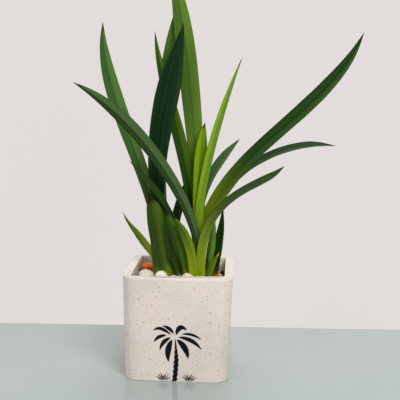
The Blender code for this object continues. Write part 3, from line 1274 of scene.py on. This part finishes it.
@dataclass
class Blade:
    """One fine leaf, laid over its solid one."""

    MAP = "blade"
    UNDERSIDE = "underside"

    node: str
    finish: LeafFinish
    slot: str
    wave: float = 0.5
    crumple: float = 0.0
    around: int = 36
    rings: int = 170
    width: float = 1.0
    thinness: float = 0.8
    rooting: float = 1.6
    fold: float = 0.16
    belly: float = 0.045
    edge_round: float = 0.8
    groove_width: float = 0.09
    groove_above: float = 0.14
    groove_below: float = 0.28
    flutter: float = 0.35
    withered: float = 0.82
    firm_until: float = 0.96

    def build(self, nodes: dict[str, bpy.types.Object], seed: float) -> None:
        """Model, dress and hand over the leaf.

        Args:
            nodes: The solid model's objects by name.
            seed: Number that makes this leaf's waves and streaks its own.
        """
        add = bpy.ops.mesh.primitive_uv_sphere_add
        piece = start(add, segments=self.around, ring_count=self.rings, radius=1.0, calc_uvs=False)
        across, along, under = self._shape(piece.data, read_sections(nodes[self.node]), seed)
        self._map(piece.data, across, along, under)
        settle(piece, f"{self.node}_blade")
        hand_over(piece, self.finish.material(self.node, seed), self.slot, self.node)

    def _shape(self, mesh: bpy.types.Mesh, sections: list[Section], seed: float) -> tuple:
        """Draw a ball out into the leaf.

        Args:
            mesh: The ball: its poles become the foot and the tip.
            sections: The leaf's sections.
            seed: Number that sets the waves.

        Returns:
            Each vertex's place across, place along and share of underside.
        """
        columns = list(zip(*(section.parts() for section in sections)))
        rows = [self._row(columns, ring) for ring in range(self.rings + 1)]
        across, along, under = [], [], []
        for vert in mesh.vertices:
            polar = math.acos(min(max(-vert.co.z, -1.0), 1.0)) / math.pi
            ring = round(polar * self.rings)
            pole = ring in (0, self.rings)
            angle = math.pi / 2.0 if pole else math.atan2(vert.co.y, vert.co.x)
            share, section, up = rows[ring]
            side, rise = (0.0, 0.0) if pole else (math.cos(angle), math.sin(angle))
            vert.co = self._place(section, up, side, rise, share, seed)
            across.append(side)
            along.append(share)
            under.append(0.5 - 0.5 * rise)
        return across, along, under

    def _row(self, columns: list[tuple[Vector, ...]], ring: int) -> tuple[float, Section, Vector]:
        """Section of one ring of the ball.

        Args:
            columns: The sections' points, one row for each kind.
            ring: Number of the ring from the foot.

        Returns:
            Its share of the length, its section and the way its upper side looks.
        """
        share = min(max((ring - 1) / (self.rings - 1), 0.0), 1.0)
        section = Section(*(curve_through(list(column), share) for column in columns))
        firm = min(share, self.firm_until)
        upper, lower = (curve_through(list(columns[kind]), firm) for kind in (2, 3))
        return share, section, (upper - lower).normalized()

    def _place(
        self, section: Section, up: Vector, side: float, rise: float, share: float, seed: float
    ) -> Vector:
        """Place of one point of the leaf's skin.

        Args:
            section: The section there.
            up: The way its upper side looks.
            side: Place across, from -1 at the left margin to 1 at the right one.
            rise: 1 in the middle of the upper side and -1 in the middle of the lower.
            share: Place along.
            seed: Number that sets the waves.

        Returns:
            The place.
        """
        margin = section.right if side > 0.0 else section.left
        reach = margin - section.upper
        lift = reach.dot(up)
        level = reach - up * lift
        away = abs(side)
        hollow = (math.hypot(away, self.fold) - self.fold) / (math.hypot(1.0, self.fold) - self.fold)
        place = section.upper + level * (away * self.width) + up * lift * hollow
        place += up * level.length * self.belly * math.sin(math.pi * away)
        thick = (section.upper - section.lower).length * self.thinness
        place += up * thick * 0.5 * (math.copysign(abs(rise) ** self.edge_round, rise) - 1.0)
        fade = ease(0.0, 0.1, share) * ease(1.0, 0.85, share)
        groove = math.exp(-((side / self.groove_width) ** 2))
        place -= up * groove * fade * MM * (self.groove_above if rise > 0.0 else self.groove_below)
        half = math.copysign(1.0, side)
        swing = noise.noise(Vector((share * 5.0, 3.0 * half, seed)))
        swing += self.flutter * noise.noise(Vector((share * 15.0, 7.0 * half, seed)))
        place += up * swing * away ** 2 * self.wave * fade * MM
        if self.crumple:
            shrivel = ease(self.withered, 1.0, share) * self.crumple * MM
            place += noise.noise_vector(Vector((share * 26.0, side * 1.5, seed))) * shrivel
        place.z -= (1.0 - ease(0.0, 0.05, share)) * self.rooting * MM
        return place

    def _map(self, mesh: bpy.types.Mesh, across: list, along: list, under: list) -> None:
        """Write the blade's own map, across and along it, and its underside.

        Args:
            mesh: The leaf's mesh.
            across: Place across of each vertex, from -1 to 1.
            along: Place along of each vertex, from 0 to 1.
            under: Share of underside of each vertex.
        """
        layer = mesh.uv_layers.new(name=self.MAP)
        for loop in mesh.loops:
            spot = loop.vertex_index
            layer.data[loop.index].uv = (0.5 + 0.5 * across[spot], along[spot])
        side = mesh.attributes.new(self.UNDERSIDE, "FLOAT", "POINT")
        side.data.foreach_set("value", under)


# --- Pebbles ---------------------------------------------------------------------


@dataclass
class Pebbles:
    """The dressing of pebbles, each a finer copy of its solid one."""

    unevenness: float = 0.05
    wear_size: float = 5.0
    whites: tuple[StoneFinish, ...] = (
        StoneFinish("stone_cream", paint(224, 217, 200), paint(214, 205, 184), paint(190, 178, 154), 0.4),
        StoneFinish("stone_white", paint(236, 232, 222), paint(224, 220, 208), paint(200, 194, 180), 0.36),
        StoneFinish("stone_grey", paint(222, 217, 204), paint(206, 201, 187), paint(180, 172, 156), 0.42),
    )
    reds: tuple[StoneFinish, ...] = (
        StoneFinish("stone_orange", paint(250, 122, 10), paint(242, 108, 6), paint(210, 84, 10), 0.4),
        StoneFinish("stone_red", paint(206, 74, 22), paint(182, 60, 16), paint(140, 44, 14), 0.44),
    )

    def build(self, nodes: dict[str, bpy.types.Object]) -> None:
        """Model, dress and hand over every pebble.

        Args:
            nodes: The solid model's objects by name.
        """
        for slot, finishes in (("pebble_white", self.whites), ("pebble_orange", self.reds)):
            materials = [finish.material() for finish in finishes]
            names = sorted(name for name in nodes if name.startswith(slot))
            for number, name in enumerate(names):
                piece = self._finer(nodes[name], number * 3.7)
                settle(piece, f"{name}_stone")
                hand_over(piece, materials[number % len(materials)], slot, name)

    def _finer(self, node: bpy.types.Object, seed: float) -> bpy.types.Object:
        """Copy a solid pebble, weld it, smooth it and wear its surface.

        Args:
            node: The solid pebble.
            seed: Number that makes its surface its own.

        Returns:
            The finer pebble.
        """
        piece = bpy.data.objects.new(node.name, node.data.copy())
        bpy.context.scene.collection.objects.link(piece)
        pick(piece)
        weld(piece)
        bpy.ops.mesh.customdata_custom_splitnormals_clear()
        apply_modifier(piece, "SUBSURF", levels=2, render_levels=2)
        low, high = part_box(node.name)
        middle = (low + high) / 2.0
        for vert in piece.data.vertices:
            offset = vert.co - middle
            place = offset / (self.wear_size * MM) + Vector((seed, 0.0, 0.0))
            wear = noise.noise(place * 0.8) + 0.35 * noise.noise(place * 2.6)
            vert.co = middle + offset * (1.0 + wear * self.unevenness)
        return piece


# --- Studio ----------------------------------------------------------------------


@dataclass(frozen=True)
class Lamp:
    """A soft square lamp aimed at the plant."""

    name: str
    place: tuple[float, float, float]
    size: float
    power: float
    tint: Colour

    def light(self, target: Vector) -> None:
        """Hang the lamp and aim it.

        Args:
            target: What it lights, in metres.
        """
        data = bpy.data.lights.new(self.name, "AREA")
        data.energy = self.power
        data.size = self.size * MM
        data.color = self.tint
        lamp = bpy.data.objects.new(self.name, data)
        lamp.location = Vector(self.place) * MM
        lamp.rotation_euler = (target - lamp.location).to_track_quat("-Z", "Y").to_euler()
        lamp.visible_glossy = False
        bpy.context.scene.collection.objects.link(lamp)


@dataclass
class Studio:
    """The table, the lamps, the pale surroundings and the camera."""

    table_back: float = 98.0
    table_turn: float = 2.8
    table_front: float = -1400.0
    table_side: float = 1300.0
    table_thick: float = 14.0
    wall_back: float = 1500.0
    wall_side: float = 6000.0
    wall_top: float = 3000.0
    wall_low: float = -3000.0
    wall_glow: Colour = paint(224, 219, 216)
    surroundings: Colour = paint(232, 230, 230)
    brightness: float = 0.6
    lens: float = 67.0
    sensor: float = 36.0
    nearest: float = 10.0
    camera_place: tuple[float, float, float] = (38.2, -547.7, 198.9)
    yaw: float = -2.58
    pitch: float = -7.49
    roll: float = 1.09
    lamps: tuple[Lamp, ...] = (
        Lamp("key", (420.0, -820.0, 760.0), 500.0, 9.6, (1.0, 0.975, 0.95)),
        Lamp("fill", (-700.0, -660.0, 380.0), 700.0, 2.0, (0.97, 0.98, 1.0)),
        Lamp("top", (60.0, 480.0, 900.0), 500.0, 2.2, (1.0, 1.0, 1.0)),
    )

    def build(self) -> None:
        """Set up everything round the plant."""
        self._table()
        self._wall()
        self._surroundings()
        low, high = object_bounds()
        for lamp in self.lamps:
            lamp.light((low + high) / 2.0)
        self._camera()
        bpy.context.scene.view_settings.view_transform = "Standard"

    def _table(self) -> None:
        """The pale table top, whose back edge runs close behind the pot."""
        low = Vector((-self.table_side, self.table_front, -self.table_thick))
        high = Vector((self.table_side, self.table_back, 0.0))
        table = self._slab("table", low, high, TableFinish().material(), self.table_turn)
        apply_modifier(table, "BEVEL", width=1.0 * MM, segments=3)

    def _wall(self) -> None:
        """The pale wall, far behind the table."""
        low = Vector((-self.wall_side, self.wall_back - self.table_thick / 2.0, self.wall_low))
        high = Vector((self.wall_side, self.wall_back + self.table_thick / 2.0, self.wall_top))
        self._slab("wall", low, high, WallFinish(self.wall_glow).material())

    def _slab(
        self, name: str, low: Vector, high: Vector, material: bpy.types.Material, turn: float = 0.0
    ) -> bpy.types.Object:
        """Add a slab of the surroundings.

        Args:
            name: Name of the slab.
            low: Its lowest corner, in millimetres.
            high: Its highest corner, in millimetres.
            material: Its material.
            turn: How far it is turned about the middle of its back edge, in degrees.

        Returns:
            The slab.
        """
        middle, size = (low + high) / 2.0 * MM, (high - low) * MM
        slab = start(bpy.ops.mesh.primitive_cube_add, size=1.0, location=middle, scale=size)
        if turn:
            back = (0.0, high.y * MM, 0.0)
            bpy.ops.transform.rotate(value=-math.radians(turn), orient_axis="Z", center_override=back)
        settle(slab, name)
        slab.data.materials.append(material)
        slab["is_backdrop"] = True
        return slab

    def _surroundings(self) -> None:
        """Even, pale light from all round."""
        world = bpy.data.worlds.new("surroundings")
        world.use_nodes = True
        background = world.node_tree.nodes["Background"]
        background.inputs["Color"].default_value = (*self.surroundings, 1.0)
        background.inputs["Strength"].default_value = self.brightness
        bpy.context.scene.world = world

    def _camera(self) -> None:
        """The camera: it looks slightly down and left, and is tilted a little."""
        yaw, pitch, roll = (math.radians(angle) for angle in (self.yaw, self.pitch, self.roll))
        level = Vector((math.sin(yaw), math.cos(yaw), 0.0))
        forward = level * math.cos(pitch) + Vector((0.0, 0.0, math.sin(pitch)))
        right = Vector((math.cos(yaw), -math.sin(yaw), 0.0))
        up = right.cross(forward)
        tilted_right = right * math.cos(roll) + up * math.sin(roll)
        tilted_up = up * math.cos(roll) - right * math.sin(roll)
        data = bpy.data.cameras.new("camera")
        data.lens = self.lens
        data.sensor_width = self.sensor
        data.clip_start = self.nearest * MM
        camera = bpy.data.objects.new("camera", data)
        turn = Matrix((tilted_right, tilted_up, -forward)).transposed().to_4x4()
        camera.matrix_world = Matrix.Translation(Vector(self.camera_place) * MM) @ turn
        bpy.context.scene.collection.objects.link(camera)
        bpy.context.scene.camera = camera


# --- The plant -------------------------------------------------------------------

DARK = "leaf_dark"
GREEN = "leaf_green"
BRIGHT = "leaf_bright"
BLACK_TIP = paint(26, 22, 16)
SHEATH = paint(136, 156, 2)
LIME = paint(124, 154, 4)

# Painted light and shade: each leaf's first two colours are its left and right halves, one painted as the
# lit side and the other as the shaded side of its fold.
BLADES = (
    Blade("leaf_heart", LeafFinish(paint(108, 146, 6), paint(92, 130, 8), SHEATH, 0.5), BRIGHT, width=1.4),
    Blade(
        "leaf_bright",
        LeafFinish(paint(118, 152, 34), paint(92, 126, 36), LIME, 0.6, painted_crease_shade=0.1),
        BRIGHT,
        width=1.55,
    ),
    Blade(
        "leaf_tall", LeafFinish(paint(64, 96, 32), paint(90, 122, 42), foot_reach=0.6), BRIGHT, width=1.16
    ),
    Blade("leaf_centre_left", LeafFinish(paint(30, 62, 14), paint(66, 98, 20)), GREEN),
    Blade(
        "leaf_right_long", LeafFinish(paint(28, 56, 18), paint(38, 70, 22), SHEATH, 0.5), DARK, width=1.12
    ),
    Blade("leaf_left_arching", LeafFinish(paint(32, 56, 28), paint(60, 86, 50), foot_reach=0.2), GREEN),
    Blade("leaf_right_short_back", LeafFinish(paint(62, 88, 52), paint(76, 100, 62)), GREEN),
    Blade("leaf_left_low", LeafFinish(paint(14, 38, 14), paint(26, 56, 18)), DARK, width=0.7),
    Blade("leaf_right_droop_back", LeafFinish(paint(44, 68, 42), paint(50, 76, 46)), GREEN, width=1.1),
    Blade(
        "leaf_right_droop_front",
        LeafFinish(paint(44, 68, 32), paint(54, 78, 38), SHEATH, 0.62),
        GREEN,
        width=0.92,
    ),
    Blade(
        "leaf_dark_broad",
        LeafFinish(paint(10, 38, 18), paint(14, 44, 24), foot_reach=0.12, streaks=0.06),
        DARK,
    ),
    Blade("leaf_left_back", LeafFinish(paint(52, 84, 38), paint(74, 108, 48), foot_reach=0.4), GREEN),
    Blade("leaf_behind_dark", LeafFinish(paint(60, 98, 30), paint(56, 92, 28)), GREEN, width=1.3),
    Blade("leaf_left_small", LeafFinish(paint(42, 74, 18), paint(58, 90, 20), SHEATH, 0.95), BRIGHT),
    Blade(
        "leaf_front_broad",
        LeafFinish(paint(34, 58, 8), paint(54, 80, 16), SHEATH, 0.2, tip=BLACK_TIP, tip_reach=0.1),
        GREEN,
        crumple=1.2,
        width=1.25,
    ),
    Blade("leaf_back_cross", LeafFinish(paint(18, 44, 14), paint(24, 52, 18)), DARK),
    Blade(
        "leaf_front_dried_tip",
        LeafFinish(paint(40, 70, 14), paint(58, 88, 18), SHEATH, tip=BLACK_TIP, tip_reach=0.1),
        GREEN,
        crumple=1.0,
        width=0.9,
    ),
    Blade("leaf_front_centre", LeafFinish(paint(38, 70, 12), paint(74, 106, 16), SHEATH, 0.9), GREEN),
    # Painted shade: this leaf sits in the deep shade between the two front leaves, and both its halves are
    # painted near black-green for it.
    Blade("leaf_front_sliver", LeafFinish(paint(14, 38, 10), paint(20, 44, 12)), DARK),
    Blade("leaf_right_upright_dark", LeafFinish(paint(16, 42, 12), paint(24, 52, 16)), DARK),
    Blade("leaf_right_upright_pale", LeafFinish(paint(72, 104, 30), paint(86, 118, 38)), GREEN),
    Blade(
        "leaf_right_yellow_tip",
        LeafFinish(paint(84, 108, 14), paint(92, 114, 18), SHEATH, tip=paint(190, 160, 40), tip_reach=0.07),
        BRIGHT,
    ),
)


def main() -> None:
    """Load the solid model and build the looks round it."""
    logging.basicConfig(level=logging.INFO, format="%(message)s")
    noise.seed_set(NOISE_SEED)
    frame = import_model()
    nodes = frame["nodes"]

    pot = Pot()
    pot.build()
    PalmPrint(pot).build()
    Soil().build()
    stem_material = StemFinish().material()
    for name in sorted(nodes):
        if name.startswith("stem"):
            nodes[name].data.materials.clear()
            nodes[name].data.materials.append(stem_material)
            LOG.info("%s: dressed", name)
    for number, blade in enumerate(BLADES):
        blade.build(nodes, 11.0 * number)
    Pebbles().build(nodes)
    Studio().build()


if __name__ == "__main__":
    main()
